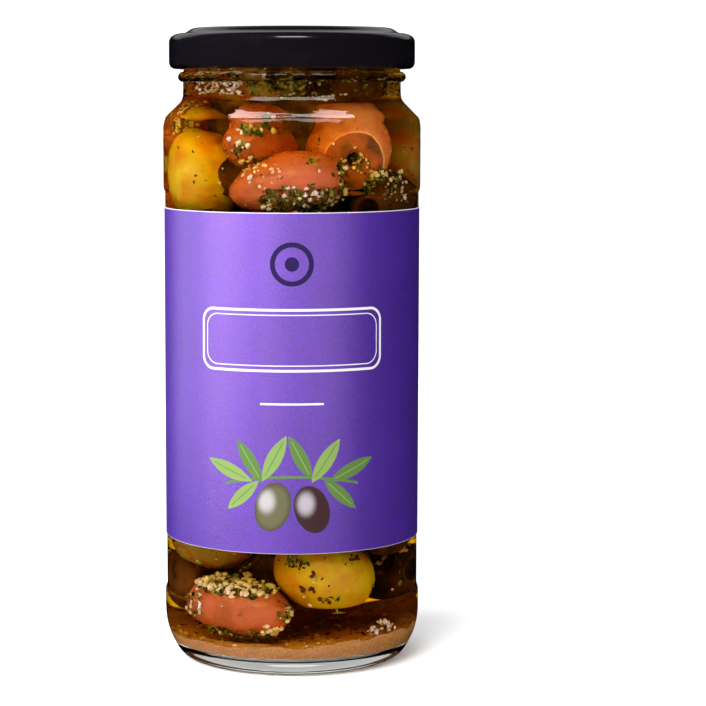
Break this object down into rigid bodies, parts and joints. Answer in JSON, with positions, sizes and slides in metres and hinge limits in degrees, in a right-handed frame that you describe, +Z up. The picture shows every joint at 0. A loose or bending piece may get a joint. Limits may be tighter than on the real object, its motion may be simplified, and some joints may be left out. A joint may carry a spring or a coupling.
{
  "type": "jar of olives",
  "caption": "Tall clear glass jar with a black twist-off lid and a wrapped purple paper label, filled with mixed pitted olives, herbs and garlic in amber brine.",
  "frame": {"origin": "centre of the jar's foot, on the plane it stands on", "axes": "+Z up the jar's axis; the front of the label faces -Y and +X is to its right"},
  "size_m": [0.0634, 0.0634, 0.1553],
  "materials": {
    "clear_glass": "clear, smooth",
    "black_lid": "black lacquer, semi-gloss",
    "purple_paper": "satin print",
    "settled_herbs": "fine loose grains",
    "olives": "wet skin"
  },
  "bodies": {
    "root": {"glass_jar": "clear_glass", "lid": "black_lid", "label": "purple_paper", "settled_bed": "settled_herbs", "olive_heap": "olives"}
  },
  "joints": []
}
